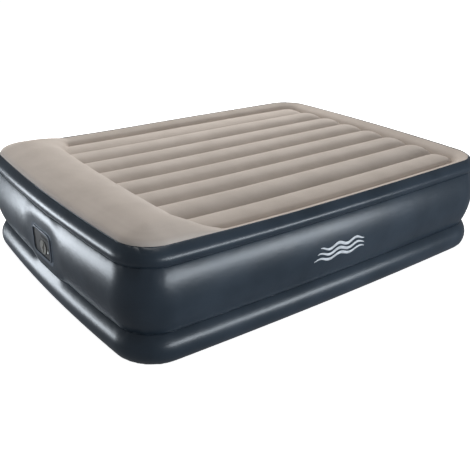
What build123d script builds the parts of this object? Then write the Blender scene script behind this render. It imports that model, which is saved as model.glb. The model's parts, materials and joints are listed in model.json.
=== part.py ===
from build123d import *
import math
import os

# Raised queen-size airbed with a built-in electric pump. Millimetres, +Z up.
# The origin is on the floor under the middle, +X runs from the head end to the foot end.

# ---- bed, overall ----
bed_length = 2030.0
bed_width = 1520.0
corner_radius = 165.0
film = 2.0                  # wall of every welded film, thicker than the real 0.45 mm
web_film = 1.5

# ---- side wall: three bulging bands between weld lines ----
lower_weld_z = 122.0
upper_weld_z = 391.0
seam_z = 450.0              # where the navy wall meets the flocked top
floor_inset = 26.0          # how far the wall curls under at the floor
lower_weld_inset = 30.0
upper_weld_inset = 20.0
seam_inset = 44.0

# ---- flocked top ----
rim_width = 122.0           # from the widest line to the rim's inner foot
rim_top_z = 466.0
groove_z = 426.0
channel_count = 6
channel_pitch = 163.0
channel_rise = 24.0
edge_strip_rise = 14.0
weld_width = 4.0
bolster_width = 340.0       # from the widest line to the bolster's inner edge
bolster_inset = 46.0        # its outline is just inside the seam
bolster_top_z = 515.0
bolster_round = 52.0

# ---- pump, seen from outside: x to the right, y up, z towards the viewer ----
pump_y = 0.0
pump_z = 247.0
face_setback = 8.0          # faceplate behind the bed's widest line
face_width = 168.0
face_height = 105.0
face_corner = 18.0
plate = 2.5                 # wall of the moulded pieces
gasket_thickness = 1.0
housing_depth = 125.0
housing_margin = 2.0        # faceplate overhang past the housing
housing_corner = 12.0
collar_margin = 21.0        # welded rim beyond the faceplate, wider than the lip
collar_thickness = 3.5
lip_width = 8.0
lip_height = 5.0
fit_gap = 1.0
running_gap = 0.05

bay_divider_x = -22.0       # right face of the wall beside the cord compartment
compartment_depth = 60.0
door_gap = 0.5
door_margin = 6.0           # from the compartment's side wall to the door's hinge edge
door_barrel_radius = 2.0
door_pin_radius = 0.8

dial_x = 14.0
dial_y = -12.0
dial_radius = 31.0
dial_neck_radius = 12.0
drum_radius = 25.0
drum_back = -30.0

switch_x = 58.0
switch_y = -19.0
switch_radius = 10.0
rocker_half_width = 4.5
rocker_half_length = 6.5
rocker_tilt = 7.0

blower_front = -34.0
blower_back = -58.0
blower_radius = 35.0
impeller_radius = 31.0
blade_count = 9
shaft_radius = 1.6
motor_radius = 21.0
motor_length = 50.0
bracket_front = -89.0
bracket_thickness = 3.0
mount_radius = 27.0
screw_radius = 1.5

outlet_x = -45.0
outlet_radius = 15.0
seat_radius = 27.0
seat_thickness = 3.0
flap_radius = 19.0
flap_pin_radius = 1.0
flap_knuckle_radius = 2.2

half_length = bed_length / 2
half_width = bed_width / 2
# each band's lower edge and upper edge, as height and inset
lower_band = (film, floor_inset, lower_weld_z, lower_weld_inset)
middle_band = (lower_weld_z, lower_weld_inset, upper_weld_z, upper_weld_inset)
upper_band = (upper_weld_z, upper_weld_inset, seam_z, seam_inset)
collar_width = face_width + 2 * collar_margin
collar_height = face_height + 2 * collar_margin
pump_frame = Plane(origin=(-half_length + face_setback, pump_y, pump_z), x_dir=(0, -1, 0), z_dir=(-1, 0, 0))


def around(section):
    """Carries a section (x = outwards from the widest line, z = height) round the bed's outline."""
    profile = Pos(corner_radius, 0, 0) * section
    quarter = revolve(profile, Axis.Z, 90)
    spans = (2 * (half_width - corner_radius), 2 * (half_length - corner_radius))
    signs = ((1, 1), (-1, 1), (-1, -1), (1, -1))
    ring = []
    for turn, (sign_x, sign_y) in enumerate(signs):
        corner = Pos(sign_x * (half_length - corner_radius), sign_y * (half_width - corner_radius), 0)
        straight = extrude(profile, amount=spans[turn % 2], dir=(0, -1, 0))
        ring += [corner * Rot(0, 0, 90 * turn) * piece for piece in (quarter, straight)]
    return ring[0].fuse(*ring[1:]).clean()


def outline_prism(inset, bottom, top):
    """A block of the bed's outline, moved in by inset."""
    outline = RectangleRounded(bed_length - 2 * inset, bed_width - 2 * inset, corner_radius - inset)
    return extrude(Pos(0, 0, bottom) * outline, amount=top - bottom)


def widest_height(bottom, bottom_inset, top, top_inset):
    """The height where an arc through both weld lines just touches the widest line."""
    height = top - bottom
    square = 1 / bottom_inset - 1 / top_inset
    linear = 2 * height / top_inset
    constant = bottom_inset - top_inset - height**2 / top_inset
    if abs(square) < 1e-9:
        return bottom - constant / linear
    return bottom + (-linear + math.sqrt(linear**2 - 4 * square * constant)) / (2 * square)


def band_arc(bottom, bottom_inset, top, top_inset):
    """The middle height and the radius of a band's bulge, which is centred inwards of the widest line."""
    middle = widest_height(bottom, bottom_inset, top, top_inset)
    return middle, (bottom_inset**2 + (middle - bottom) ** 2) / (2 * bottom_inset)


def inside_at(height, middle, radius):
    """Where the inner face of a band's film is at a height. A thick film's inner arc can end short of the weld
    line, and its last point is used there."""
    inner_radius = radius - film
    rise = min(abs(height - middle), inner_radius)
    return -radius + math.sqrt(inner_radius**2 - rise**2)


def film_section(outer_points, inner_points):
    """A film's section in XZ between two arcs, each through three points."""
    outer, inner = (
        ThreePointArc(*((x, 0, z) for x, z in points)) for points in (outer_points, inner_points)
    )
    return make_face([outer, inner, Line(outer @ 0, inner @ 0), Line(outer @ 1, inner @ 1)])


def inner_inset(height, band):
    """How far inside the widest line a band's inner face is at a height."""
    middle, radius = band_arc(*band)
    return -inside_at(height, middle, radius)


def wall_band(band, inner_top=None):
    """One band of the side wall, bulging out to the widest line. Its edges are level unless inner_top is given."""
    bottom, bottom_inset, top, top_inset = band
    middle = band_arc(*band)[0]
    outer = [(-bottom_inset, bottom), (0, middle), (-top_inset, top)]
    inner_top = inner_top or (-inner_inset(top, band), top)
    inner = [(-inner_inset(bottom, band), bottom), (-film, middle), inner_top]
    return around(film_section(outer, inner))


def seam_inner_point():
    """The seam's inner edge: one film inwards along the upper band's radius."""
    middle, radius = band_arc(*upper_band)
    share = film / radius
    return -seam_inset + share * (seam_inset - radius), seam_z + share * (middle - seam_z)


def rim_sections():
    """The rim tube's section points, outside and inside: seam, crest and inner foot."""
    crest_inset = (seam_inset + rim_width) / 2
    outer = [(-seam_inset, seam_z), (-crest_inset, rim_top_z), (-rim_width, groove_z - film)]
    inner = [seam_inner_point(), (-crest_inset, rim_top_z - film), (film - rim_width, groove_z - film)]
    return outer, inner


def rim_skin():
    outer, inner = rim_sections()
    return around(film_section(outer, inner))


def rim_air():
    """The space under the rim's skin, open downwards."""
    inner = ThreePointArc(*((x, 0, z) for x, z in rim_sections()[1]))
    depth = groove_z - channel_rise
    low_start, low_end = (inner @ 0), (inner @ 1)
    low_start.Z = depth
    low_end.Z = depth
    sides = [Line(inner @ 0, low_start), Line(low_start, low_end), Line(low_end, inner @ 1)]
    return around(make_face([inner] + sides))


def bolster_block(skin):
    """The pillow bolster as a filled block, moved in by skin."""
    inset = bolster_inset + skin
    width = bolster_width - inset - skin
    plan = RectangleRounded(width, bed_width - 2 * inset, corner_radius - inset)
    bottom = groove_z - film if skin == 0 else groove_z - channel_rise
    place = Pos(-half_length + inset + width / 2, 0, bottom)
    block = extrude(place * plan, amount=bolster_top_z - skin - bottom)
    return fillet(block.faces().sort_by(Axis.Z)[-1].edges(), bolster_round - skin)


def bolster_skin():
    shell = bolster_block(0) - bolster_block(film)
    below_seam = outline_prism(0, groove_z - 2 * film, seam_z) - outline_prism(
        bolster_inset + bolster_round, groove_z - 3 * film, seam_z + film
    )
    return shell - below_seam


def channel_lines():
    """Where the channels are welded, across the bed."""
    inner_edge = channel_pitch * channel_count / 2
    return [-inner_edge + channel_pitch * i for i in range(channel_count + 1)]


def channel_arch(left, right, rise):
    """One channel's section in YZ: an arched film."""
    middle = (left + right) / 2
    top = ThreePointArc((0, left, groove_z), (0, middle, groove_z + rise), (0, right, groove_z))
    under = ThreePointArc(
        (0, left, groove_z - film), (0, middle, groove_z + rise - film), (0, right, groove_z - film)
    )
    return make_face([top, under, Line(top @ 0, under @ 0), Line(top @ 1, under @ 1)])


def channel_panel():
    """The sleeping surface between the bolster and the rim."""
    lines = channel_lines()
    limit = half_width - rim_width + film
    edges = [-limit] + lines + [limit]
    rises = [edge_strip_rise] + [channel_rise] * channel_count + [edge_strip_rise]
    start_x = -half_length + bolster_width - 2 * film
    length = half_length - rim_width + 2 * film - start_x
    strips = []
    for left, right, rise in zip(edges[:-1], edges[1:], rises):
        inner_left = left if left == -limit else left + weld_width / 2
        inner_right = right if right == limit else right - weld_width / 2
        arch = Pos(start_x, 0, 0) * channel_arch(inner_left, inner_right, rise)
        strips.append(extrude(arch, amount=length, dir=(1, 0, 0)))
    for line in lines:
        weld = Box(length, weld_width, film, align=(Align.MIN, Align.CENTER, Align.MAX))
        strips.append(Pos(start_x, line, groove_z) * weld)
    return strips[0].fuse(*strips[1:])


def make_top_sheet():
    under_rim = rim_air()
    under_bolster = bolster_block(film)
    panel = channel_panel() - under_rim - under_bolster
    rim = rim_skin() - under_bolster
    bolster = bolster_skin() - under_rim
    return panel.fuse(rim, bolster)


def make_channel_webs():
    """Seven upright webs that hold the grooves down, short of the ends so that air passes round."""
    start_x = -half_length + bolster_width + rim_width / 2
    length = half_length - 1.5 * rim_width - start_x
    web = Box(length, web_film, groove_z - 2 * film, align=(Align.MIN, Align.CENTER, Align.MIN))
    return [Pos(start_x, line, film) * web for line in channel_lines()]


def make_edge_webs():
    """Upright webs under the inner foot of the bolster, both long rims and the foot rim."""
    clear = corner_radius - rim_width + 2 * film
    height = groove_z - 3 * film - film
    inner_y = half_width - rim_width
    side_length = bed_length - rim_width - bolster_width - 2 * clear
    side_middle = (bolster_width - rim_width) / 2
    cross = Box(web_film, 2 * (inner_y - clear), height, align=(Align.CENTER, Align.CENTER, Align.MIN))
    along = Box(side_length, web_film, height, align=(Align.CENTER, Align.CENTER, Align.MIN))
    return {
        "bolster_web": Pos(-half_length + bolster_width, 0, film) * cross,
        "foot_rim_web": Pos(half_length - rim_width, 0, film) * cross,
        "near_rim_web": Pos(side_middle, -inner_y, film) * along,
        "far_rim_web": Pos(side_middle, inner_y, film) * along,
    }


def make_belt(height, *bands):
    """A flat belt inside the wall that pulls one weld line in."""
    inset = max(inner_inset(height, band) for band in bands)
    outer = outline_prism(inset, height - film / 2, height + film / 2)
    inner = outline_prism(rim_width - film, height - film, height + film)
    return outer - inner


def in_pump(part):
    return pump_frame.location * part


def plate_at(width, height, radius, back, front):
    """A rounded plate centred on the pump's face."""
    return extrude(Pos(0, 0, back) * RectangleRounded(width, height, radius), amount=front - back)


def block_at(left, right, bottom, top, back, front):
    box = Box(right - left, top - bottom, front - back, align=(Align.MIN, Align.MIN, Align.MIN))
    return Pos(left, bottom, back) * box


def rod_at(x, y, radius, back, front):
    rod = Cylinder(radius, front - back, align=(Align.CENTER, Align.CENTER, Align.MIN))
    return Pos(x, y, back) * rod


def rod_along_y(x, z, radius, bottom, top):
    rod = Cylinder(radius, top - bottom, align=(Align.CENTER, Align.CENTER, Align.MIN))
    return Pos(x, bottom, z) * Rot(-90, 0, 0) * rod


def rod_along_x(y, z, radius, left, right):
    rod = Cylinder(radius, right - left, align=(Align.CENTER, Align.CENTER, Align.MIN))
    return Pos(left, y, z) * Rot(0, 90, 0) * rod


# places that several pump pieces share
housing_width = face_width - 2 * housing_margin
housing_height = face_height - 2 * housing_margin
hollow_corner = housing_corner - plate
bay_right = housing_width / 2 - plate
bay_top = housing_height / 2 - plate
rim_back = -plate - gasket_thickness
door_right = bay_divider_x - door_gap
door_top = bay_top - 2.0
door_axis_x = -bay_right + door_margin + door_barrel_radius
door_axis_z = -door_barrel_radius
door_frame_left = door_axis_x - door_barrel_radius - door_gap
lug_top = bay_top - door_gap
grille = (-12.0, 74.0, 25.0, 44.0)
post_inset = 6.5
motor_back = blower_back - motor_length
flap_axis_y = 24.0
flap_seat_z = -housing_depth - seat_thickness
flap_back = flap_seat_z - 0.2
flap_axis_z = flap_back - flap_knuckle_radius
rocker_pivot_z = -2.5


def make_collar():
    base = plate_at(collar_width, collar_height, face_corner + 12, -collar_thickness, 0)
    inner = (face_width + 2 * fit_gap, face_height + 2 * fit_gap, face_corner + fit_gap)
    outer = (inner[0] + 2 * lip_width, inner[1] + 2 * lip_width, inner[2] + lip_width)
    lip = plate_at(*outer, -collar_thickness, lip_height)
    front_edges = lip.faces().sort_by(Axis.Z)[-1].edges()
    lip = fillet(front_edges, lip_width * 0.4)
    return base + lip - plate_at(*inner, -2 * collar_thickness, 2 * lip_height)


def make_housing():
    flange_front = -collar_thickness
    flange = plate_at(face_width + 12, face_height + 12, face_corner + 6, flange_front - plate, flange_front)
    tub = plate_at(housing_width, housing_height, housing_corner, -housing_depth, rim_back)
    hollow = plate_at(2 * bay_right, 2 * bay_top, hollow_corner, plate - housing_depth, 1)
    body = (flange + tub) - hollow
    floor_back = -compartment_depth - plate
    divider = block_at(bay_divider_x - plate, bay_divider_x, -bay_top, bay_top, floor_back, rim_back)
    floor = block_at(-bay_right, bay_divider_x, -bay_top, bay_top, floor_back, -compartment_depth)
    inside = plate_at(2 * bay_right, 2 * bay_top, hollow_corner, -housing_depth, 1)
    posts = []
    screw_holes = []
    for x, y in bracket_corners():
        posts.append(rod_at(x, y, 4, plate - housing_depth, bracket_front - bracket_thickness))
        screw_holes.append(rod_at(x, y, screw_radius, bracket_front - 14, bracket_front))
    body = body.fuse(*[(piece & inside) for piece in (divider, floor)], *posts)
    body = body.cut(*screw_holes)
    gland_hole = rod_at(*gland_place(), 5, 2 * floor_back, -compartment_depth + 1)
    return body - rod_at(outlet_x, 0, outlet_radius, -housing_depth - 1, -housing_depth + 5) - gland_hole


def bracket_corners():
    x = bay_right - post_inset
    y = bay_top - post_inset
    return [(x, y), (-x, y), (-x, -y), (x, -y)]


def gland_place():
    return (bay_divider_x - compartment_depth / 2, -bay_top / 2)


def make_gasket():
    outer = plate_at(housing_width, housing_height, housing_corner, rim_back, -plate)
    inner = plate_at(2 * bay_right, 2 * bay_top, hollow_corner, 2 * rim_back, 0)
    return outer - inner


def make_faceplate():
    face = plate_at(face_width, face_height, face_corner, -plate, 0)
    face = face - block_at(door_frame_left, door_right + door_gap, -door_top - door_gap,
                           door_top + door_gap, -2 * plate, plate)
    lug_bottom = door_top + door_gap
    behind = plate_at(2 * bay_right, 2 * bay_top, hollow_corner, -2 * plate, plate)
    for low, high in ((lug_bottom, lug_top), (-lug_top, -lug_bottom)):
        lug = block_at(door_frame_left, door_axis_x + 3, low, high, -2 * plate, -plate / 2)
        face += lug & behind
    face -= rod_along_y(door_axis_x, door_axis_z, door_pin_radius, -lug_top, lug_top)
    face -= block_at(*grille, -2 * plate, plate)
    face -= rod_at(dial_x, dial_y, dial_neck_radius + running_gap, -2 * plate, plate)
    return face - rod_at(switch_x, switch_y, switch_radius, -2 * plate, plate)


def make_cord_door():
    panel = block_at(door_axis_x, door_right, -door_top, door_top, -plate, 0)
    barrel = rod_along_y(door_axis_x, door_axis_z, door_barrel_radius, -door_top, door_top)
    notch = rod_at(door_right + 3, 0, 9, -1.4, plate)
    bore = rod_along_y(door_axis_x, door_axis_z, door_pin_radius + running_gap, -face_height, face_height)
    return panel + barrel - notch - bore


def make_door_pin():
    return rod_along_y(door_axis_x, door_axis_z, door_pin_radius, -lug_top, lug_top)


def make_grille():
    left, right, bottom, top = grille
    insert = block_at(left, right, bottom, top, -plate, 0)
    pitch = 6.0
    count = int((right - left - pitch) // pitch)
    first = (left + right) / 2 - pitch * (count - 1) / 2
    for i in range(count):
        middle = first + pitch * i
        insert -= block_at(middle - 1.3, middle + 1.3, bottom + 3, top - 3, -2 * plate, plate)
    return insert


def make_dial_knob():
    disc = rod_at(dial_x, dial_y, dial_radius, 0.6, 4.4)
    disc = fillet(disc.faces().sort_by(Axis.Z)[-1].edges(), 1.2)
    grip = extrude(Pos(dial_x, dial_y, 4.4) * SlotOverall(54, 15, rotation=70), amount=2.6)
    grip = fillet(grip.faces().sort_by(Axis.Z)[-1].edges(), 1.0)
    neck = rod_at(dial_x, dial_y, dial_neck_radius, 1 - 3 * plate, 0.6)
    return disc + grip + neck - rod_at(dial_x, dial_y, 5, 3.5, 10)


def make_valve_drum():
    top = 1 - 3 * plate
    drum = rod_at(dial_x, dial_y, drum_radius, drum_back, top)
    drum -= rod_at(dial_x, dial_y, drum_radius - plate, drum_back - 1, top - plate)
    window = block_at(-2 * drum_radius, 2 * drum_radius, -7, 7, drum_back + 4, top - 6)
    return drum - Pos(dial_x, dial_y, 0) * window


def make_valve_sleeve():
    inner = drum_radius + running_gap
    sleeve = rod_at(dial_x, dial_y, inner + plate, blower_front, -plate)
    sleeve -= rod_at(dial_x, dial_y, inner, 2 * blower_front, plate)
    window = block_at(0, 2 * drum_radius, -7, 7, drum_back + 4, -12)
    return sleeve - Pos(dial_x, dial_y, 0) * window


def make_switch_body():
    flange = rod_at(switch_x, switch_y, switch_radius + 1.5, 0, 1)
    barrel = rod_at(switch_x, switch_y, switch_radius, -20, 0)
    well_x = rocker_half_width + 0.3
    well_y = rocker_half_length + 0.7
    well = block_at(-well_x, well_x, -well_y, well_y, -8, 5)
    sockets = rod_along_x(0, rocker_pivot_z, 1 + running_gap, -well_x - 1, well_x + 1)
    return flange + barrel - Pos(switch_x, switch_y, 0) * (well + sockets)


def make_rocker():
    lean = math.tan(math.radians(rocker_tilt))
    end = rocker_half_length
    crown = 1.6
    side = Polyline((0, 0, crown), (0, end, crown + end * lean), (0, end, -6), (0, -end, -6),
                    (0, -end, crown + end * lean), (0, 0, crown))
    width = 2 * rocker_half_width
    block = extrude(Pos(-rocker_half_width, 0, 0) * make_face(side), amount=width, dir=(1, 0, 0))
    block += rod_along_x(0, rocker_pivot_z, 1, -rocker_half_width - 1, rocker_half_width + 1)
    tilted = Pos(0, 0, rocker_pivot_z) * Rot(-rocker_tilt, 0, 0) * Pos(0, 0, -rocker_pivot_z) * block
    return Pos(switch_x, switch_y, 0) * tilted


def on_blower_axis(part):
    return Pos(dial_x, dial_y, 0) * part


def make_blower_housing():
    shell = rod_at(0, 0, blower_radius, blower_back, blower_front)
    shell -= rod_at(0, 0, blower_radius - 2, blower_back + 2, blower_front - 2)
    shell -= rod_at(0, 0, 15, blower_front - 3, blower_front + 1)
    shell -= rod_at(0, 0, shaft_radius + running_gap, blower_back - 1, blower_back + 3)
    outlet = block_at(blower_radius - 12, blower_radius + 5, -8, 8, blower_back + 4, blower_front - 4)
    return on_blower_axis(shell - outlet)


def make_impeller():
    hub = rod_at(0, 0, 5, blower_back + 4, blower_front - 6)
    back_plate = rod_at(0, 0, impeller_radius, blower_back + 4, blower_back + 6)
    blade = block_at(4, impeller_radius - 1, -0.8, 0.8, blower_back + 5, blower_front - 6)
    blades = [Rot(0, 0, 360 / blade_count * i) * blade for i in range(blade_count)]
    wheel = hub.fuse(back_plate, *blades) - rod_at(0, 0, shaft_radius, 2 * blower_back, 0)
    return on_blower_axis(wheel)


def make_motor_shaft():
    return on_blower_axis(rod_at(0, 0, shaft_radius, motor_back - 5, blower_front - 7))


def make_motor_can():
    can = rod_at(0, 0, motor_radius, motor_back, blower_back)
    can -= rod_at(0, 0, motor_radius - 1.5, motor_back + 2, blower_back - 2)
    return on_blower_axis(can - rod_at(0, 0, shaft_radius + running_gap, 2 * motor_back, 0))


def make_motor_magnets():
    ring = rod_at(0, 0, motor_radius - 1.5, motor_back + 8, blower_back - 8)
    ring -= rod_at(0, 0, motor_radius - 6, motor_back, blower_back)
    gap = block_at(-4, 4, -2 * motor_radius, 2 * motor_radius, motor_back, blower_back)
    return on_blower_axis(ring - gap)


def make_motor_armature():
    core = rod_at(0, 0, motor_radius - 7, motor_back + 9, blower_back - 9)
    core -= rod_at(0, 0, shaft_radius, 2 * motor_back, 0)
    for i in range(5):
        slot = block_at(motor_radius - 11, motor_radius, -1.2, 1.2, motor_back, blower_back)
        core -= Rot(0, 0, 72 * i) * slot
    return on_blower_axis(core)


def make_motor_mount():
    ring = rod_at(0, 0, mount_radius, bracket_front - bracket_thickness - 1, bracket_front + 1)
    return on_blower_axis(ring - rod_at(0, 0, motor_radius, 2 * motor_back, 0))


def make_motor_bracket():
    back = bracket_front - bracket_thickness
    bracket = plate_at(2 * bay_right, 2 * bay_top, hollow_corner, back, bracket_front)
    bracket -= on_blower_axis(rod_at(0, 0, mount_radius, 2 * back, 0))
    bracket -= rod_at(outlet_x, 0, outlet_radius, 2 * back, 0)
    for x, y in bracket_corners():
        bracket -= rod_at(x, y, screw_radius, 2 * back, 0)
    return bracket


def make_bracket_screws():
    screws = []
    for x, y in bracket_corners():
        head = rod_at(x, y, 3, bracket_front, bracket_front + 2.4)
        shank = rod_at(x, y, screw_radius, bracket_front - 12, bracket_front)
        recess = block_at(x - 1.8, x + 1.8, y - 0.4, y + 0.4, bracket_front + 1.2, bracket_front + 3)
        screws.append(head + shank - recess)
    return Compound(children=screws)


def make_cord_gland():
    x, y = gland_place()
    floor = -compartment_depth
    gland = rod_at(x, y, 7, floor, floor + 2) + rod_at(x, y, 5, floor - 3 * plate, floor)
    return gland - rod_at(x, y, 3, 2 * floor, 0)


def make_outlet_seat():
    seat = rod_at(outlet_x, 0, seat_radius, flap_seat_z, -housing_depth)
    seat -= rod_at(outlet_x, 0, outlet_radius, 2 * flap_seat_z, 0)
    lug_inner = 6.8
    for side in (-1, 1):
        low, high = sorted((outlet_x + side * lug_inner, outlet_x + side * (lug_inner + 2.5)))
        lug_back = flap_axis_z - flap_knuckle_radius
        seat += block_at(low, high, flap_axis_y - 3, flap_axis_y + 1.8, lug_back, flap_seat_z)
    return seat - flap_rod(flap_pin_radius, lug_inner + 2.5)


def flap_rod(radius, reach):
    return rod_along_x(flap_axis_y, flap_axis_z, radius, outlet_x - reach, outlet_x + reach)


def make_check_flap():
    disc = rod_at(outlet_x, 0, flap_radius, flap_back - 2, flap_back)
    disc += block_at(outlet_x - 6.3, outlet_x + 6.3, 15, flap_axis_y, flap_back - 2, flap_back)
    disc += flap_rod(flap_knuckle_radius, 6.3)
    return disc - flap_rod(flap_pin_radius + running_gap, 10)


def make_flap_pin():
    return flap_rod(flap_pin_radius, 9.3)


def make_bands():
    opening = plate_at(collar_width, collar_height, face_corner + 12, -4 * face_setback, 4 * face_setback)
    return {
        "wall_band_lower": wall_band(lower_band),
        "wall_band_middle": wall_band(middle_band) - in_pump(opening),
        "wall_band_upper": wall_band(upper_band, seam_inner_point()),
    }


def make_all():
    nodes = make_bands()
    nodes["top_sheet"] = make_top_sheet()
    nodes["bottom_sheet"] = outline_prism(floor_inset - film / 2, 0, film)
    nodes["belt_lower"] = make_belt(lower_weld_z, lower_band, middle_band)
    nodes["belt_upper"] = make_belt(upper_weld_z, middle_band, upper_band)
    for number, web in enumerate(make_channel_webs(), 1):
        nodes[f"channel_web_{number}"] = web
    nodes.update(make_edge_webs())
    pump = {
        "pump_collar": make_collar(),
        "pump_housing": make_housing(),
        "face_gasket": make_gasket(),
        "pump_faceplate": make_faceplate(),
        "cord_door": make_cord_door(),
        "door_pin": make_door_pin(),
        "intake_grille": make_grille(),
        "dial_knob": make_dial_knob(),
        "valve_drum": make_valve_drum(),
        "valve_sleeve": make_valve_sleeve(),
        "switch_body": make_switch_body(),
        "power_rocker": make_rocker(),
        "blower_housing": make_blower_housing(),
        "impeller": make_impeller(),
        "motor_shaft": make_motor_shaft(),
        "motor_can": make_motor_can(),
        "motor_magnets": make_motor_magnets(),
        "motor_armature": make_motor_armature(),
        "motor_mount": make_motor_mount(),
        "motor_bracket": make_motor_bracket(),
        "bracket_screws": make_bracket_screws(),
        "cord_gland": make_cord_gland(),
        "outlet_seat": make_outlet_seat(),
        "check_flap": make_check_flap(),
        "flap_pin": make_flap_pin(),
    }
    nodes.update({name: in_pump(part) for name, part in pump.items()})
    return nodes


os.makedirs("parts", exist_ok=True)
for node_name, node_part in make_all().items():
    export_step(node_part, f"parts/{node_name}.step")
    print(node_name, round(node_part.volume))
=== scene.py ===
import json
import math

import bmesh
import bpy
import numpy as np
from mathutils import Matrix, Vector


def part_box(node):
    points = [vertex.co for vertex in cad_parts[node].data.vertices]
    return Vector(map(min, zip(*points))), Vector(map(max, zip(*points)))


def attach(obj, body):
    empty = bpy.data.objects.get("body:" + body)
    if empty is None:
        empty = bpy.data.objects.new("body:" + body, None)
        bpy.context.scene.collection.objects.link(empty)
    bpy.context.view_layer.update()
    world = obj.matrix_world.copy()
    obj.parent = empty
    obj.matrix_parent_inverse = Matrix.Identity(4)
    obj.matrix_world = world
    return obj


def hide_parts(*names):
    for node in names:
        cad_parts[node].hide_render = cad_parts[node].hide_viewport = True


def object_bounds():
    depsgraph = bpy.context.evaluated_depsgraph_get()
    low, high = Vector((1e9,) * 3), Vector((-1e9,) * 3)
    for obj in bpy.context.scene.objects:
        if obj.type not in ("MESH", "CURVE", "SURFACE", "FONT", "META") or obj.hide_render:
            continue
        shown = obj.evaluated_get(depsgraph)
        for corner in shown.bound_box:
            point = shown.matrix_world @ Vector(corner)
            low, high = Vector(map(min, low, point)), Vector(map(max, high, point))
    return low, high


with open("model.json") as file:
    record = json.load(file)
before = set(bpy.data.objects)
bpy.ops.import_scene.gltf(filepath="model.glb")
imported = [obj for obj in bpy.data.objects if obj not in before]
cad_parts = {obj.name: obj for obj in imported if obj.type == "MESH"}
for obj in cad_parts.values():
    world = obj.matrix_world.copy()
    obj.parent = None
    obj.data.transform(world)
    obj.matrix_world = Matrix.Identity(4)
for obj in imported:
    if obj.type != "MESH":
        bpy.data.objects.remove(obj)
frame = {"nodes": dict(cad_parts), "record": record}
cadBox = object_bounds()
scene = bpy.context.scene

# sizes the soft pieces share, in metres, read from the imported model
midBand, topBand = (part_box(f"wall_band_{name}") for name in ("middle", "upper"))
bed = {
    "halfLength": cadBox[1].x,
    "halfWidth": cadBox[1].y,
    "cornerRadius": 0.172,
    "lowerWeld": midBand[0].z,
    "upperWeld": midBand[1].z,
    "seam": topBand[1].z,
    "floorInset": 0.026,
    "lowerInset": 0.034,
    "upperInset": 0.026,
    "seamInset": 0.044,
    "endBow": 0.034,      # how much further out the middle of a short side is than its corners
    "sideBow": 0.020,     # the same for a long side
    "headLift": 0.010,    # the seam climbs this much towards the head
    "film": 0.002,
}


class Wire:
    # one socket of a node tree, on which sums make Math nodes
    def __init__(self, tree, socket=None):
        self.tree = tree
        self.socket = socket

    def node(self, kind, settings=None, sockets=None, output=0):
        made = self.tree.nodes.new(kind)
        for name, value in (settings or {}).items():
            if name == "ramp":
                while len(made.color_ramp.elements) < len(value):
                    made.color_ramp.elements.new(1.0)
                for stop, (place, colour) in zip(made.color_ramp.elements, value):
                    stop.position = place
                    stop.color = colour
            else:
                setattr(made, name, value)
        for key, value in (sockets or {}).items():
            if isinstance(value, Wire):
                self.tree.links.new(value.socket, made.inputs[key])
            else:
                made.inputs[key].default_value = value
        return Wire(self.tree, made.outputs[output])

    def sum(self, operation, *terms):
        return self.node("ShaderNodeMath", {"operation": operation}, dict(enumerate(terms)))

    def __add__(self, other):
        return self.sum("ADD", self, other)

    def __sub__(self, other):
        return self.sum("SUBTRACT", self, other)

    def __rsub__(self, other):
        return self.sum("SUBTRACT", other, self)

    def __mul__(self, other):
        return self.sum("MULTIPLY", self, other)

    def __truediv__(self, other):
        return self.sum("DIVIDE", self, other)

    def __pow__(self, other):
        return self.sum("POWER", self, other)

    __radd__ = __add__
    __rmul__ = __mul__

    def size(self):
        return self.sum("ABSOLUTE", self)

    def atLeast(self, other):
        return self.sum("MAXIMUM", self, other)

    def atMost(self, other):
        return self.sum("MINIMUM", self, other)

    def ease(self, low, high):
        # 0 below low, 1 above high, smooth between
        smooth = {"interpolation_type": "SMOOTHSTEP"}
        return self.node("ShaderNodeMapRange", smooth, {0: self, 1: low, 2: high})


# the bed's plan and section, worked out on arrays
def easeStep(value, low, high):
    share = np.clip((value - low) / (high - low), 0, 1)
    return share * share * (3 - 2 * share)


def bowed(x, y):
    # pulls the corners in, so that every side bows outwards
    end = 1 - bed["endBow"] / bed["halfLength"] * (y / bed["halfWidth"]) ** 2
    side = 1 - bed["sideBow"] / bed["halfWidth"] * (x / bed["halfLength"]) ** 2
    return x * end, y * side


def arch(share, flat, fullness):
    # 1 in the middle, 0 at share = -1 and 1
    return np.clip(1 - np.abs(share) ** flat, 0, None) ** (1 / fullness)


def insetOf(x, y):
    # how far a point is inside the widest line
    radius = bed["cornerRadius"]
    acrossX = np.abs(x) - (bed["halfLength"] - radius)
    acrossY = np.abs(y) - (bed["halfWidth"] - radius)
    outside = np.hypot(np.maximum(acrossX, 0), np.maximum(acrossY, 0))
    return radius - outside - np.minimum(np.maximum(acrossX, acrossY), 0)


def softMax(first, second, width):
    return (first + second + np.sqrt((first - second) ** 2 + width**2) - width) / 2


flockedTop = {
    "rimInset": 0.075,      # the rim tube's crest, from the widest line
    "rimFoot": 0.116,       # where the rim meets the sleeping surface
    "rimTop": 0.454,
    "creaseZ": 0.388,
    "underside": 0.376,     # a plain sheet that closes the top, out of sight
    "grooveZ": 0.420,
    "channelTop": 0.452,
    "edgeTop": 0.440,
    "pitch": 0.163,
    "channels": 6,
    "endRound": 0.10,       # length of a channel's rounded end
    "bolsterTop": 0.512,
    "bolsterCrest": -0.835,
    "bolsterFoot": -0.655,
    "bolsterEdge": 0.150,   # how far in from the seam its outer slope reaches
    "sweep": 0.055,         # its foot runs this much further inwards at the long sides
    "sweepFrom": 0.50,
    "sweepTo": 0.67,
    "creaseRun": 0.028,     # from the crease to the grooves' level
    "blend": 0.03,          # how softly the rim runs into the bolster
    "linesAlong": 250,
    "linesAcross": 330,
}


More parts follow.
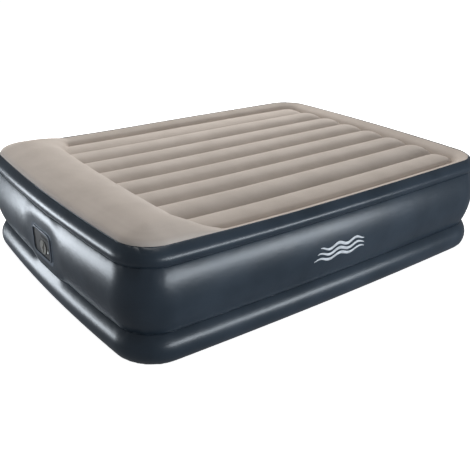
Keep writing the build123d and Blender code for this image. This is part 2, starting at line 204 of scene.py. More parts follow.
def topHeight(x, y):
    size = flockedTop
    inset = insetOf(x, y)
    seamShare = (inset - bed["seamInset"]) / (size["rimInset"] - bed["seamInset"])
    outer = bed["seam"] + (size["rimTop"] - bed["seam"]) * arch(1 - np.clip(seamShare, 0, 1), 2.2, 2)
    footShare = (inset - size["rimInset"]) / (size["rimFoot"] - size["rimInset"])
    inner = size["creaseZ"] + (size["rimTop"] - size["creaseZ"]) * arch(np.clip(footShare, 0, 1), 2.4, 1.7)
    rim = np.where(seamShare < 1, outer, inner) - np.maximum(inset - size["rimFoot"], 0) * 2

    half = size["pitch"] / 2
    lastLine = size["channels"] * half
    strip = bed["halfWidth"] - size["rimFoot"] - lastLine
    inEdge = np.abs(y) > lastLine
    middle = (np.floor((y + lastLine) / (2 * half)) + 0.5) * 2 * half - lastLine
    across = np.where(inEdge, (np.abs(y) - lastLine - strip / 2) / (strip / 2), (y - middle) / half)
    footLine = bed["halfLength"] - size["rimFoot"]
    along = np.clip((x - footLine + size["endRound"]) / size["endRound"], 0, 1)
    rise = np.where(inEdge, size["edgeTop"], size["channelTop"]) - size["grooveZ"]
    nearCrease = np.clip((inset - size["rimFoot"]) / size["creaseRun"], 0, 1)
    base = size["creaseZ"] + (size["grooveZ"] - size["creaseZ"]) * arch(1 - nearCrease, 2.0, 2.0)
    panel = base + rise * arch(across, 2.0, 1.35) * arch(along, 2.4, 1.9)
    panel = panel - np.maximum(size["rimFoot"] - inset, 0) * 3

    sweep = size["sweep"] * easeStep(np.abs(y), size["sweepFrom"], size["sweepTo"])
    fall = np.clip((x - size["bolsterCrest"]) / (size["bolsterFoot"] + sweep - size["bolsterCrest"]), 0, 1.2)
    edge = np.clip((inset - bed["seamInset"]) / size["bolsterEdge"], 0, 1)
    base = bed["seam"] - (bed["seam"] - size["grooveZ"]) * np.clip(edge * 1.5, 0, 1)
    bolster = base + (size["bolsterTop"] - base) * arch(1 - edge, 2.1, 1.9) * arch(fall, 2.8, 1.5)
    bolster = bolster - np.maximum(fall - 1, 0) * 0.5

    soft = size["blend"] * easeStep(inset, bed["seamInset"], bed["seamInset"] + 0.05)
    shaped = softMax(softMax(rim, bolster, soft), panel, 0.003)
    lift = bed["headLift"] * easeStep(-x, 0.2, bed["halfLength"])
    return shaped + lift


def gradedLines(reach, count, densities):
    # places from -reach to reach, closer together where the density is higher
    fine = np.linspace(-reach, reach, 6000)
    weight = np.ones_like(fine)
    for middle, width, gain in densities:
        weight += gain * np.exp(-(((fine - middle) / width) ** 2))
    total = np.concatenate([[0], np.cumsum((weight[1:] + weight[:-1]) / 2)])
    places = np.interp(np.linspace(0, total[-1], count), total, fine)
    return places


def onRoundedPlan(x, y, reachX, reachY, radius):
    # carries a rectangle's grid onto a plan with rounded corners
    shareX = np.clip((np.abs(x) - (reachX - radius)) / radius, 0, 1)
    shareY = np.clip((np.abs(y) - (reachY - radius)) / radius, 0, 1)
    roundX = shareX * np.sqrt(1 - shareY**2 / 2)
    roundY = shareY * np.sqrt(1 - shareX**2 / 2)
    return (x - np.sign(x) * (shareX - roundX) * radius, y - np.sign(y) * (shareY - roundY) * radius)


def pieceFrom(name, places, faces, material):
    mesh = bpy.data.meshes.new(name)
    mesh.from_pydata([tuple(place) for place in places], [], faces)
    mesh.validate()
    mesh.update()
    mesh.materials.append(material)
    mesh.polygons.foreach_set("use_smooth", [True] * len(mesh.polygons))
    piece = bpy.data.objects.new(name, mesh)
    scene.collection.objects.link(piece)
    return piece


def makeFlockedTop(material):
    size = flockedTop
    reachX = bed["halfLength"] - bed["seamInset"]
    reachY = bed["halfWidth"] - bed["seamInset"]
    lines = [(i - size["channels"] / 2) * size["pitch"] for i in range(size["channels"] + 1)]
    linesX = gradedLines(reachX, size["linesAlong"], [
        (-reachX, 0.05, 3), (reachX, 0.05, 3), (reachX - 0.09, 0.05, 2), (size["bolsterFoot"], 0.06, 2)])
    linesY = gradedLines(reachY, size["linesAcross"], [
        (-reachY, 0.05, 2.5), (reachY, 0.05, 2.5)] + [(line, 0.016, 2.5) for line in lines])
    gridX, gridY = np.meshgrid(linesX, linesY, indexing="ij")
    planX, planY = onRoundedPlan(gridX, gridY, reachX, reachY, bed["cornerRadius"] - bed["seamInset"])
    height = topHeight(planX, planY)
    outX, outY = bowed(planX, planY)
    countX, countY = outX.shape
    places = np.stack([outX, outY, height], -1).reshape(-1, 3)
    faces = [(i * countY + j, (i + 1) * countY + j, (i + 1) * countY + j + 1, i * countY + j + 1)
             for i in range(countX - 1) for j in range(countY - 1)]
    # the underside is one plain sheet, out of sight inside the wall
    ring = ([(i, 0) for i in range(countX)] + [(countX - 1, j) for j in range(1, countY)]
            + [(i, countY - 1) for i in range(countX - 2, -1, -1)]
            + [(0, j) for j in range(countY - 2, 0, -1)])
    ringIndex = [i * countY + j for i, j in ring]
    start = len(places)
    lower = places[ringIndex] * np.array([0.93, 0.93, 0]) + np.array([0, 0, size["underside"]])
    count = len(ringIndex)
    faces += [(ringIndex[(k + 1) % count], ringIndex[k], start + k, start + (k + 1) % count)
              for k in range(count)]
    faces.append(tuple(start + k for k in range(count))[::-1])
    piece = pieceFrom("flocked_top", np.concatenate([places, lower]), faces, material)
    facesOutwards(piece)
    return piece


def facesOutwards(piece):
    shape = bmesh.new()
    shape.from_mesh(piece.data)
    bmesh.ops.recalc_face_normals(shape, faces=shape.faces)
    shape.to_mesh(piece.data)
    shape.free()


# wall bands and weld strips: swept round the plan by geometry nodes
def newTree(name, inputs):
    tree = bpy.data.node_groups.new(name, "GeometryNodeTree")
    for label, kind in inputs.items():
        tree.interface.new_socket(label, in_out="INPUT", socket_type=kind)
    tree.interface.new_socket("Geometry", in_out="OUTPUT", socket_type="NodeSocketGeometry")
    entry = tree.nodes.new("NodeGroupInput")
    wires = {label: Wire(tree, entry.outputs[label]) for label in inputs}
    return tree, wires


def finishTree(tree, geometry, material):
    real = geometry.node("GeometryNodeRealizeInstances", None, {0: geometry})
    smooth = real.node("GeometryNodeSetShadeSmooth", None, {0: real})
    painted = smooth.node("GeometryNodeSetMaterial", None, {"Geometry": smooth, "Material": material})
    last = tree.nodes.new("NodeGroupOutput")
    tree.links.new(painted.socket, last.inputs[0])


def settle(name, tree, values):
    # runs a tree on an empty mesh and keeps its result as a plain mesh
    holder = bpy.data.objects.new(name + "_maker", bpy.data.meshes.new(name + "_maker"))
    scene.collection.objects.link(holder)
    modifier = holder.modifiers.new("maker", "NODES")
    modifier.node_group = tree
    for item in tree.interface.items_tree:
        if item.in_out == "INPUT" and item.name in values:
            modifier[item.identifier] = values[item.name]
    return freeze(holder, name)


def freeze(holder, name):
    depsgraph = bpy.context.evaluated_depsgraph_get()
    depsgraph.update()
    mesh = bpy.data.meshes.new_from_object(holder.evaluated_get(depsgraph), depsgraph=depsgraph)
    mesh.name = name
    oldMesh = holder.data
    bpy.data.objects.remove(holder)
    bpy.data.meshes.remove(oldMesh)
    piece = bpy.data.objects.new(name, mesh)
    scene.collection.objects.link(piece)
    return piece


collarLow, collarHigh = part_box("pump_collar")
collar = {
    "width": collarHigh.y - collarLow.y,
    "height": collarHigh.z - collarLow.z,
    "corner": 0.030,
    "middle": (collarHigh.z + collarLow.z) / 2,
    "face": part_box("pump_faceplate")[0].x,     # the flange's outer face is level with the faceplate
    "drawn": 0.105,     # the film is drawn in this far round it
    "grip": 0.97,       # share of the way that it is drawn
    "headWall": -0.9,   # only film nearer the head than this
}
outlineInputs = {
    "Half Length": "NodeSocketFloat", "Half Width": "NodeSocketFloat", "Corner Radius": "NodeSocketFloat",
    "End Bow": "NodeSocketFloat", "Side Bow": "NodeSocketFloat", "Head Lift": "NodeSocketFloat",
    "Lift From": "NodeSocketFloat", "Lift To": "NodeSocketFloat",
}
outlineValues = {
    "Half Length": bed["halfLength"], "Half Width": bed["halfWidth"], "Corner Radius": bed["cornerRadius"],
    "End Bow": bed["endBow"], "Side Bow": bed["sideBow"], "Head Lift": bed["headLift"],
    "Lift From": bed["upperWeld"], "Lift To": bed["seam"],
}


def outlineCurve(wires, step):
    start = wires["Half Length"]
    box = start.node("GeometryNodeCurvePrimitiveQuadrilateral", {"mode": "RECTANGLE"},
                     {0: wires["Half Length"] * 2, 1: wires["Half Width"] * 2})
    rounded = start.node("GeometryNodeFilletCurve", {"mode": "POLY"},
                         {0: box, 1: 40, 2: wires["Corner Radius"]})
    return start.node("GeometryNodeResampleCurve", {"mode": "LENGTH"}, {0: rounded, 3: step})


def parts(vector):
    axes = vector.tree.nodes.new("ShaderNodeSeparateXYZ")
    vector.tree.links.new(vector.socket, axes.inputs[0])
    return [Wire(vector.tree, output) for output in axes.outputs]


def bowGeometry(wires, geometry):
    # bows the four sides and lifts the seam towards the head
    place = geometry.node("GeometryNodeInputPosition")
    x, y, z = parts(place)
    acrossEnd = y / wires["Half Width"]
    alongSide = x / wires["Half Length"]
    newX = x * (1 - wires["End Bow"] / wires["Half Length"] * acrossEnd * acrossEnd)
    newY = y * (1 - wires["Side Bow"] / wires["Half Width"] * alongSide * alongSide)
    towardsHead = (x * -1).ease(0.2, wires["Half Length"])
    newZ = z + wires["Head Lift"] * towardsHead * ((z - wires["Lift From"])
                                                   / (wires["Lift To"] - wires["Lift From"])).atLeast(0)
    moved = place.node("ShaderNodeCombineXYZ", None, {0: newX, 1: newY, 2: newZ.atLeast(0)})
    return place.node("GeometryNodeSetPosition", None, {"Geometry": geometry, "Position": moved})


def bandTree():
    inputs = {"Bottom": "NodeSocketFloat", "Top": "NodeSocketFloat", "Bottom Inset": "NodeSocketFloat",
              "Top Inset": "NodeSocketFloat", "Bulge": "NodeSocketFloat", "Flat": "NodeSocketFloat",
              "Round": "NodeSocketFloat", "Film": "NodeSocketFloat", "Pucker": "NodeSocketFloat",
              "Step": "NodeSocketFloat", "Seed": "NodeSocketFloat", "Collar Width": "NodeSocketFloat",
              "Collar Height": "NodeSocketFloat", "Collar Corner": "NodeSocketFloat",
              "Collar Middle": "NodeSocketFloat", "Collar Face": "NodeSocketFloat",
              "Material": "NodeSocketMaterial"}
    tree, wires = newTree("wall band", {**outlineInputs, **inputs})
    path = outlineCurve(wires, wires["Step"])
    # the section: up the outside, down the inside, as one closed line of points
    half = 25
    line = path.node("GeometryNodeMeshLine", None, {0: 2 * half})
    index = path.node("GeometryNodeInputIndex")
    inside = index.sum("GREATER_THAN", index, half - 0.5)
    climb = (index * (1 - inside) + (2 * half - 1 - index) * inside) / (half - 1)
    eased = (1 - climb.sum("COSINE", climb * math.pi)) / 2
    climb = climb * 0.35 + eased * 0.65      # closer together near the welds
    away = (climb * 2 - 1).size()
    swell = (1 - away ** wires["Flat"]).atLeast(0) ** wires["Round"]
    outwards = wires["Bottom Inset"] * (climb - 1) - wires["Top Inset"] * climb + wires["Bulge"] * swell
    outwards = outwards - wires["Film"] * inside
    height = wires["Bottom"] + (wires["Top"] - wires["Bottom"]) * climb
    spot = path.node("ShaderNodeCombineXYZ", None, {0: outwards, 1: height * -1})
    placed = path.node("GeometryNodeSetPosition", None, {0: line, 2: spot})
    section = path.node("GeometryNodeMeshToCurve", None, {0: placed})
    section = path.node("GeometryNodeSetSplineCyclic", None, {0: section, 2: True})
    swept = path.node("GeometryNodeCurveToMesh", None, {0: path, 1: section})
    # puckers: short upright gathers at the weld lines, deepest at the corners
    place = path.node("GeometryNodeInputPosition")
    x, y, z = parts(place)
    corner = (x.size().ease(wires["Half Length"] - 0.24, wires["Half Length"] - 0.06)
              * y.size().ease(wires["Half Width"] - 0.24, wires["Half Width"] - 0.06))
    fromWeld = (z - wires["Bottom"]).atMost(wires["Top"] - z).atLeast(0)
    nearWeld = z.sum("EXPONENT", fromWeld / -0.022)
    streaks = path.node("ShaderNodeCombineXYZ", None, {0: x, 1: y, 2: z * 0.15})
    noise = path.node("ShaderNodeTexNoise", {"noise_dimensions": "4D"}, {
        "Vector": streaks, "W": wires["Seed"], "Scale": 34.0, "Detail": 1.5})
    gather = (noise - 0.5) * wires["Pucker"] * nearWeld * (corner * 1.0 + 0.16)
    normal = path.node("GeometryNodeInputNormal")
    shift = path.node("ShaderNodeVectorMath", {"operation": "SCALE"}, {0: normal, "Scale": gather})
    gathered = path.node("GeometryNodeSetPosition", None, {"Geometry": swept, "Offset": shift})
    finishTree(tree, drawnToCollar(wires, bowGeometry(wires, gathered)), wires["Material"])
    return tree


def drawnToCollar(wires, geometry):
    # the film round the pump is drawn in to the collar's plane
    place = geometry.node("GeometryNodeInputPosition")
    x, y, z = parts(place)
    pastY = y.size() - (wires["Collar Width"] / 2 - wires["Collar Corner"])
    pastZ = (z - wires["Collar Middle"]).size() - (wires["Collar Height"] / 2 - wires["Collar Corner"])
    outY, outZ = pastY.atLeast(0), pastZ.atLeast(0)
    away = (outY * outY + outZ * outZ) ** 0.5 + pastY.atLeast(pastZ).atMost(0) - wires["Collar Corner"]
    pull = (1 - away.ease(0, collar["drawn"])) * collar["grip"] * x.sum("LESS_THAN", x, collar["headWall"])
    moved = place.node("ShaderNodeCombineXYZ", None, {0: (wires["Collar Face"] - x) * pull})
    return place.node("GeometryNodeSetPosition", None, {0: geometry, 3: moved})


def weldTree():
    inputs = {"Inset": "NodeSocketFloat", "Height": "NodeSocketFloat", "Bead": "NodeSocketFloat",
              "Step": "NodeSocketFloat", "Material": "NodeSocketMaterial"}
    tree, wires = newTree("weld bead", {**outlineInputs, **inputs})
    start = wires["Inset"]
    inner = dict(wires)
    inner["Half Length"] = wires["Half Length"] - wires["Inset"]
    inner["Half Width"] = wires["Half Width"] - wires["Inset"]
    inner["Corner Radius"] = wires["Corner Radius"] - wires["Inset"]
    path = outlineCurve(inner, wires["Step"])
    raised = start.node("ShaderNodeCombineXYZ", None, {2: wires["Height"]})
    path = start.node("GeometryNodeSetPosition", None, {"Geometry": path, "Offset": raised})
    ring = start.node("GeometryNodeCurvePrimitiveCircle", None, {0: 8, 4: wires["Bead"]})
    swept = start.node("GeometryNodeCurveToMesh", None, {0: path, 1: ring})
    finishTree(tree, bowGeometry(wires, swept), wires["Material"])
    return tree


wallBands = {
    "wall_lower": {"bottom": 0.0, "top": bed["lowerWeld"], "insets": (bed["floorInset"], bed["lowerInset"]),
                   "bulge": 0.030, "flat": 2.1, "round": 0.85, "pucker": 0.012, "seed": 1.0},
    "wall_middle": {"bottom": bed["lowerWeld"], "top": bed["upperWeld"],
                    "insets": (bed["lowerInset"], bed["upperInset"]),
                    "bulge": 0.032, "flat": 2.0, "round": 0.90, "pucker": 0.014, "seed": 2.0},
    "wall_upper": {"bottom": bed["upperWeld"], "top": bed["seam"],
                   "insets": (bed["upperInset"], bed["seamInset"]),
                   "bulge": 0.022, "flat": 2.0, "round": 0.85, "pucker": 0.010, "seed": 3.0},
}


def bandOffset(band, height):
    # how far outside the widest line a band's film is at a height
    climb = (height - band["bottom"]) / (band["top"] - band["bottom"])
    swell = np.clip(1 - np.abs(2 * climb - 1) ** band["flat"], 0, None) ** band["round"]
    return -band["insets"][0] * (1 - climb) - band["insets"][1] * climb + band["bulge"] * swell


def makeBands(material):
    tree = bandTree()
    made = {}
    for name, band in wallBands.items():
        made[name] = settle(name, tree, {
            **outlineValues, "Bottom": band["bottom"], "Top": band["top"], "Bottom Inset": band["insets"][0],
            "Top Inset": band["insets"][1], "Bulge": band["bulge"], "Flat": band["flat"],
            "Round": band["round"], "Film": bed["film"], "Pucker": band["pucker"], "Step": 0.011,
            "Seed": band["seed"], "Collar Width": collar["width"], "Collar Height": collar["height"],
            "Collar Corner": collar["corner"], "Collar Middle": collar["middle"],
            "Collar Face": collar["face"] + 0.0008, "Material": material})
        facesOutwards(made[name])
    cutPumpHole(made["wall_middle"])
    return made


def roundedOutline(width, height, corner, steps=8):
    # points of a rounded rectangle, as pairs
    points = []
    for turn, (signA, signB) in enumerate(((1, 1), (-1, 1), (-1, -1), (1, -1))):
        for step in range(steps + 1):
            angle = math.pi / 2 * (turn + step / steps)
            points.append((signA * (width / 2 - corner) + corner * math.cos(angle),
                           signB * (height / 2 - corner) + corner * math.sin(angle)))
    return points


def cutPumpHole(piece):
    # the opening is a little smaller than the collar, whose flange covers its edge
    lap = 0.008
    ring = roundedOutline(collar["width"] - 2 * lap, collar["height"] - 2 * lap, collar["corner"] - lap)
    count = len(ring)
    places = [(x, a, collar["middle"] + b) for x in (-1.05, -0.95) for a, b in ring]
    faces = [(k, (k + 1) % count, count + (k + 1) % count, count + k) for k in range(count)]
    faces += [tuple(range(count))[::-1], tuple(range(count, 2 * count))]
    cutter = pieceFrom("pump_cutter", places, faces, piece.data.materials[0])
    facesOutwards(cutter)
    cut = piece.modifiers.new("opening", "BOOLEAN")
    cut.object = cutter
    cut.operation = "DIFFERENCE"
    cut.solver = "EXACT"
    depsgraph = bpy.context.evaluated_depsgraph_get()
    depsgraph.update()
    mesh = bpy.data.meshes.new_from_object(piece.evaluated_get(depsgraph), depsgraph=depsgraph)
    piece.modifiers.clear()
    piece.data = mesh
    bpy.data.objects.remove(cutter)


welds = {
    "weld_lower": {"height": bed["lowerWeld"], "inset": bed["lowerInset"] + 0.0012, "bead": 0.0014},
    "weld_upper": {"height": bed["upperWeld"], "inset": bed["upperInset"] + 0.0012, "bead": 0.0014},
    "seam_bead": {"height": bed["seam"], "inset": bed["seamInset"] + 0.0005, "bead": 0.0016},
}


def makeWelds(material):
    tree = weldTree()
    return {name: settle(name, tree, {**outlineValues, "Inset": weld["inset"], "Height": weld["height"],
                                      "Bead": weld["bead"], "Step": 0.012, "Material": material})
            for name, weld in welds.items()}


# films out of sight inside the wall, bowed like the wall
hiddenFilms = {
    "floor_sheet": {"for": "bottom_sheet", "insets": (bed["floorInset"] + 0.003, None),
                    "low": 0.0004, "high": 0.0024, "slot": "navy_vinyl"},
    "belt_ring_lower": {"for": "belt_lower", "insets": (bed["lowerInset"] + 0.004, 0.118),
                        "low": bed["lowerWeld"] - 0.001, "high": bed["lowerWeld"] + 0.001,
                        "slot": "inner_film"},
    "belt_ring_upper": {"for": "belt_upper", "insets": (bed["upperInset"] + 0.004, 0.074),
                        "low": bed["upperWeld"] - 0.001, "high": bed["upperWeld"] + 0.001,
                        "slot": "inner_film"},
}
webs = [f"channel_web_{number}" for number in range(1, 8)]
webs += ["bolster_web", "foot_rim_web", "near_rim_web", "far_rim_web"]


def planRing(inset, count=240):
    # evenly spread points of the bed's outline, moved in by inset and bowed
    corner = bed["cornerRadius"] - inset
    length, width = (2 * (bed[half] - inset) for half in ("halfLength", "halfWidth"))
    points = np.array(roundedOutline(length, width, corner, 12))
    closed = np.concatenate([points, points[:1]])
    walked = np.concatenate([[0], np.cumsum(np.hypot(*np.diff(closed, axis=0).T))])
    spots = np.linspace(0, walked[-1], count, endpoint=False)
    x = np.interp(spots, walked, closed[:, 0])
    y = np.interp(spots, walked, closed[:, 1])
    return np.stack(bowed(x, y), -1)


def makeFlatFilm(name, film, material):
    outer, inner = film["insets"]
    rings = [planRing(outer)] + ([planRing(inner)] if inner else [])
    count = len(rings[0])
    places = [(x, y, z) for z in (film["low"], film["high"]) for ring in rings for x, y in ring]
    after = [(k + 1) % count for k in range(count)]
    if inner:
        below, belowIn, above, aboveIn = (count * k for k in range(4))
        faces = [(a + k, a + after[k], b + after[k], b + k) for k in range(count)
                 for a, b in ((below, above), (above, aboveIn), (aboveIn, belowIn), (belowIn, below))]
    else:
        faces = [(k, after[k], count + after[k], count + k) for k in range(count)]
        faces += [tuple(range(count))[::-1], tuple(range(count, 2 * count))]
    piece = pieceFrom(name, places, faces, material)
    facesOutwards(piece)
    return piece


def makeWeb(node, material, steps=40):
    # an upright strip from the floor to the top's underside
    low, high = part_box(node)
    alongX = high.x - low.x > high.y - low.y
    rows = []
    for step in range(steps + 1):
        share = step / steps
        if alongX:
            spots = [(low.x + (high.x - low.x) * share, y) for y in (low.y, high.y)]
        else:
            spots = [(x, low.y + (high.y - low.y) * share) for x in (high.x, low.x)]
        (nearX, nearY), (farX, farY) = (bowed(x, y) for x, y in spots)
        bottom, topZ = 0.0028, flockedTop["underside"] - 0.002
        rows += [(nearX, nearY, bottom), (farX, farY, bottom), (farX, farY, topZ), (nearX, nearY, topZ)]
    faces = [(4 * k + a, 4 * k + 4 + a, 4 * k + 4 + (a + 1) % 4, 4 * k + (a + 1) % 4)
             for k in range(steps) for a in range(4)]
    faces += [(0, 1, 2, 3), tuple(4 * steps + a for a in (3, 2, 1, 0))]
    piece = pieceFrom(node.replace("_web", "_rib"), rows, faces, material)
    facesOutwards(piece)
    return piece


wavePrint = {
    "from": -0.19, "to": 0.125, "lowest": 0.229, "rows": 3, "rowGap": 0.0235, "swing": 0.0075,
    "waves": 2.5, "thickness": 0.0140, "proud": 0.0006, "columns": 160,
}


def makeWavePrint(material):
    # three tapering waves of pale ink on the near long wall
    size = wavePrint
    band = wallBands["wall_middle"]
    places, faces = [], []
    for row in range(size["rows"]):
        share = np.linspace(0, 1, size["columns"])
        x = size["from"] + (size["to"] - size["from"]) * (share * (0.94 - 0.06 * row) + 0.05 * row)
        middle = (size["lowest"] + row * size["rowGap"]
                  + size["swing"] * np.sin(2 * math.pi * (size["waves"] * share + 0.12 * row)))
        half = size["thickness"] / 2 * np.sin(math.pi * np.clip(share, 0.004, 0.996)) ** 0.45
        start = len(places)
        for k in range(size["columns"]):
            for lift in (-1, -0.33, 0.33, 1):
                z = middle[k] + half[k] * lift
                y = -(bed["halfWidth"] + bandOffset(band, z) + size["proud"])
                places.append((*bowed(x[k], y), z))
        faces += [(start + 4 * k + r, start + 4 * k + 4 + r, start + 4 * k + 5 + r, start + 4 * k + 1 + r)
                  for k in range(size["columns"] - 1) for r in range(3)]
    piece = pieceFrom("wave_print", places, faces, material)
    facesOutwards(piece)
    wall = piece.modifiers.new("ink", "SOLIDIFY")
    wall.thickness = 0.0004
    wall.offset = 0
    return piece


dialMarks = {
    "count": 13, "from": -150.0, "to": 150.0, "gap": 0.0035, "long": 0.004, "wide": 0.0009, "high": 0.0006,
}


def dialMarkTree():
    inputs = {"Count": "NodeSocketInt", "Radius": "NodeSocketFloat", "From": "NodeSocketFloat",
              "To": "NodeSocketFloat", "Mark": "NodeSocketVector", "Middle": "NodeSocketVector",
              "Material": "NodeSocketMaterial"}
    tree, wires = newTree("dial marks", inputs)
    start = wires["Count"]
    line = start.node("GeometryNodeMeshLine", None, {0: wires["Count"]})
    index = start.node("GeometryNodeInputIndex")
    angle = wires["From"] + (wires["To"] - wires["From"]) * index / (wires["Count"] - 1)
    angle = angle * (math.pi / 180)
    spot = start.node("ShaderNodeCombineXYZ", None, {
        1: angle.sum("SINE", angle) * wires["Radius"], 2: angle.sum("COSINE", angle) * wires["Radius"]})
    ring = start.node("GeometryNodeSetPosition", None, {0: line, 2: spot})
    mark = start.node("GeometryNodeMeshCube", None, {0: wires["Mark"]})
    turn = start.node("ShaderNodeCombineXYZ", None, {0: angle * -1})
    copies = start.node("GeometryNodeInstanceOnPoints", None,
                        {"Points": ring, "Instance": mark, "Rotation": turn})
    placed = start.node("GeometryNodeTransform", None, {"Geometry": copies, "Translation": wires["Middle"]})
    finishTree(tree, placed, wires["Material"])
    return tree


def makeDialMarks(material):
    size = dialMarks
    low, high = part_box("dial_knob")
    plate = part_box("pump_faceplate")[0].x
    return settle("dial_marks", dialMarkTree(), {
        "Count": size["count"], "Radius": (high.y - low.y) / 2 + size["gap"] + size["long"] / 2,
        "From": size["from"], "To": size["to"], "Mark": (size["high"], size["wide"], size["long"]),
        "Middle": (plate - size["high"] / 2 + 0.0001, (low.y + high.y) / 2, (low.z + high.z) / 2),
        "Material": material})


# camera, stage and lights
camera = {"eye": (-1.861, -2.445, 1.427), "forward": (0.5492, 0.7243, -0.4168), "roll": 0.79, "lens": 50.56}


def makeCamera():
    data = bpy.data.cameras.new("camera")
    data.lens = camera["lens"]
    data.sensor_width = 36.0
    eye = bpy.data.objects.new("camera", data)
    scene.collection.objects.link(eye)
    turn = Vector(camera["forward"]).to_track_quat("-Z", "Y").to_matrix().to_4x4()
    turn = turn @ Matrix.Rotation(math.radians(camera["roll"]), 4, "Z")
    eye.matrix_world = Matrix.Translation(Vector(camera["eye"])) @ turn
    scene.camera = eye


lights = {
    "key": {"place": (2.0, 3.7, 2.5), "aim": (0.1, 0.0, 0.4), "size": (2.6, 1.6), "watts": 172,
            "cool": False},
    "overhead": {"place": (-0.3, 0.2, 3.6), "aim": (0.0, 0.0, 0.4), "size": (3.0, 2.0), "watts": 40,
                 "cool": False},
    "head_softbox": {"place": (-2.95, 2.1, 0.0), "aim": (-1.0, -0.35, 0.3), "size": (2.2, 0.8), "watts": 58,
                     "cool": True},
    "near_softbox": {"place": (0.7, -3.5, 0.42), "aim": (0.0, -0.7, 0.3), "size": (3.6, 0.60), "watts": 85,
                     "cool": True},
}


def makeLights():
    for name, light in lights.items():
        data = bpy.data.lights.new(name, "AREA")
        data.shape = "RECTANGLE"
        data.size, data.size_y = light["size"]
        data.energy = light["watts"]
        data.color = (0.86, 0.93, 1.0) if light["cool"] else (1.0, 0.985, 0.96)
        lamp = bpy.data.objects.new(name, data)
        scene.collection.objects.link(lamp)
        lamp.location = light["place"]
        lamp.rotation_mode = "QUATERNION"
        lamp.rotation_quaternion = (Vector(light["aim"]) - Vector(light["place"])).to_track_quat("-Z", "Y")


def makeStage():
    world = bpy.data.worlds.new("studio")
    scene.world = world
    world.use_nodes = True
    world.node_tree.nodes["Background"].inputs["Color"].default_value = (0.94, 0.96, 1.0, 1)
    world.node_tree.nodes["Background"].inputs["Strength"].default_value = 0.18
    half, low = 40, -0.001
    mesh = bpy.data.meshes.new("studio_floor")
    corners = [(-half, -half, low), (half, -half, low), (half, half, low), (-half, half, low)]
    mesh.from_pydata(corners, [], [(0, 1, 2, 3)])
    floor = bpy.data.objects.new("studio_floor", mesh)
    scene.collection.objects.link(floor)
    material, graph, shader = newMaterial("studio_white")
    shader.inputs["Base Color"].default_value = (0.9, 0.9, 0.9, 1)
    shader.inputs["Roughness"].default_value = 0.9
    shader.inputs["Emission Color"].default_value = (1, 1, 1, 1)
    shader.inputs["Emission Strength"].default_value = 0.9
    mesh.materials.append(material)
    floor.visible_glossy = False
    floor.visible_diffuse = False
    floor.visible_shadow = False
    scene.view_settings.view_transform = "Standard"


# finishes
def newMaterial(name):
    material = bpy.data.materials.new(name)
    material.use_nodes = True
    shader = material.node_tree.nodes["Principled BSDF"]
    return material, Wire(material.node_tree), shader


def plug(wire, shader, socket):
    wire.tree.links.new(wire.socket, shader.inputs[socket])


def blendColours(graph, share, first, second):
    return graph.node("ShaderNodeMix", {"data_type": "RGBA"}, {0: share, 6: first, 7: second}, 2)


def noiseOn(graph, place, scale, detail=2.0):
    return graph.node("ShaderNodeTexNoise", None, {"Vector": place, "Scale": scale, "Detail": detail})


def bumpFrom(graph, height, strength, distance):
    return graph.node("ShaderNodeBump", None, {"Height": height, "Strength": strength, "Distance": distance})


flock = {"lit": (0.60, 0.53, 0.475, 1), "deep": (0.48, 0.42, 0.37, 1), "sheen": 0.25}


def makeFlock():
    material, graph, shader = newMaterial("flocked_fabric")
    place = graph.node("ShaderNodeTexCoord", None, None, 3)
    brushed = noiseOn(graph, place, 7.0, 3.0)
    pile = noiseOn(graph, place, 900.0, 1.0)
    tone = brushed.ease(0.3, 0.72) * 0.45 + pile * 0.35
    plug(blendColours(graph, tone, flock["lit"], flock["deep"]), shader, "Base Color")
    plug(pile * 0.1 + 0.86, shader, "Roughness")
    plug(bumpFrom(graph, pile + brushed * 2, 0.25, 0.001), shader, "Normal")
    shader.inputs["Sheen Weight"].default_value = flock["sheen"]
    shader.inputs["Sheen Roughness"].default_value = 0.45
    shader.inputs["Sheen Tint"].default_value = (0.9, 0.86, 0.82, 1)
    shader.inputs["Specular IOR Level"].default_value = 0.15
    return material


vinyl = {"dark": (0.018, 0.029, 0.042, 1), "pale": (0.028, 0.042, 0.059, 1), "gloss": 0.30}


def makeVinyl():
    material, graph, shader = newMaterial("navy_vinyl")
    place = graph.node("ShaderNodeTexCoord", None, None, 3)
    cloud = noiseOn(graph, place, 5.0, 3.0)
    grain = noiseOn(graph, place, 420.0, 1.0)
    ripple = noiseOn(graph, place, 22.0, 2.0)
    plug(blendColours(graph, cloud.ease(0.3, 0.7), vinyl["dark"], vinyl["pale"]), shader, "Base Color")
    plug(cloud * 0.08 + vinyl["gloss"], shader, "Roughness")
    plug(bumpFrom(graph, grain * 0.15 + ripple * 2, 0.35, 0.0012), shader, "Normal")
    shader.inputs["Coat Weight"].default_value = 0.15
    shader.inputs["Coat Roughness"].default_value = 0.25
    return material


def makePlain(name, base, roughness, bumpScale=600.0, metallic=0.0, spread=0.12):
    material, graph, shader = newMaterial(name)
    place = graph.node("ShaderNodeTexCoord", None, None, 3)
    grain = noiseOn(graph, place, bumpScale, 2.0)
    cloud = noiseOn(graph, place, 40.0, 2.0)
    deeper = tuple(channel * (1 - 2 * spread) for channel in base) + (1,)
    plug(blendColours(graph, cloud.ease(0.3, 0.7), tuple(base) + (1,), deeper), shader, "Base Color")
    plug(grain * 0.12 + (roughness - 0.06), shader, "Roughness")
    plug(bumpFrom(graph, grain, 0.2, 0.0004), shader, "Normal")
    shader.inputs["Metallic"].default_value = metallic
    return material


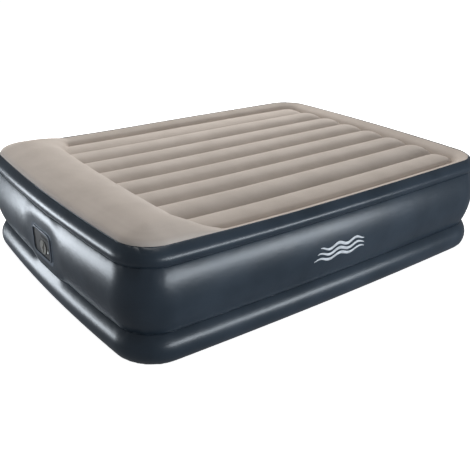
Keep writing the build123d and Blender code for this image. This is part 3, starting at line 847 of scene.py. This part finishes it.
plainFinishes = {
    "inner_film": ((0.35, 0.37, 0.40), 0.45, 300.0, 0.0),
    "collar_vinyl": ((0.16, 0.19, 0.23), 0.24, 300.0, 0.0),
    "pump_shell": ((0.028, 0.026, 0.024), 0.42, 1400.0, 0.0),
    "grille_plastic": ((0.02, 0.02, 0.02), 0.5, 1400.0, 0.0),
    "dial_plastic": ((0.30, 0.29, 0.26), 0.35, 1200.0, 0.0),
    "rocker_plastic": ((0.62, 0.62, 0.58), 0.25, 1200.0, 0.0),
    "impeller_plastic": ((0.70, 0.70, 0.67), 0.4, 1200.0, 0.0),
    "soft_rubber": ((0.03, 0.03, 0.03), 0.7, 900.0, 0.0),
    "steel": ((0.6, 0.6, 0.62), 0.28, 700.0, 1.0),
    "motor_steel": ((0.45, 0.45, 0.47), 0.4, 700.0, 1.0),
    "magnet": ((0.12, 0.12, 0.13), 0.55, 700.0, 0.0),
}


def paintCad(finishes):
    for part in frame["record"]["subparts"]:
        node = frame["nodes"][part["node"]]
        if not node.material_slots:
            node.data.materials.append(None)
        for slot in node.material_slots:
            slot.material = finishes[part["material_slot"]]


makeCamera()
makeStage()
makeLights()
print("camera, stage and lights made")

finishes = {"flocked_fabric": makeFlock(), "navy_vinyl": makeVinyl()}
for name, (base, roughness, scale, metallic) in plainFinishes.items():
    finishes[name] = makePlain(name, base, roughness, scale, metallic)
paintCad(finishes)
print("finishes made")


def belongsToBed(piece, slot, *standsFor):
    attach(piece, "airbed")
    if standsFor:
        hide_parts(*standsFor)


top = makeFlockedTop(finishes["flocked_fabric"])
belongsToBed(top, "flocked_fabric", "top_sheet")
print("flocked top made", len(top.data.polygons))

for name, piece in makeBands(finishes["navy_vinyl"]).items():
    belongsToBed(piece, "navy_vinyl", name.replace("wall_", "wall_band_"))
    print(name, "made", len(piece.data.polygons))

for name, piece in makeWelds(finishes["navy_vinyl"]).items():
    belongsToBed(piece, "navy_vinyl")
print("welds made")

for name, film in hiddenFilms.items():
    belongsToBed(makeFlatFilm(name, film, finishes[film["slot"]]), film["slot"], film["for"])
for node in webs:
    belongsToBed(makeWeb(node, finishes["inner_film"]), "inner_film", node)
print("hidden films made")

belongsToBed(makeWavePrint(makePlain("pale_ink", (0.74, 0.77, 0.80), 0.4)), "navy_vinyl")
belongsToBed(makeDialMarks(finishes["rocker_plastic"]), "rocker_plastic")
print("print and dial marks made")
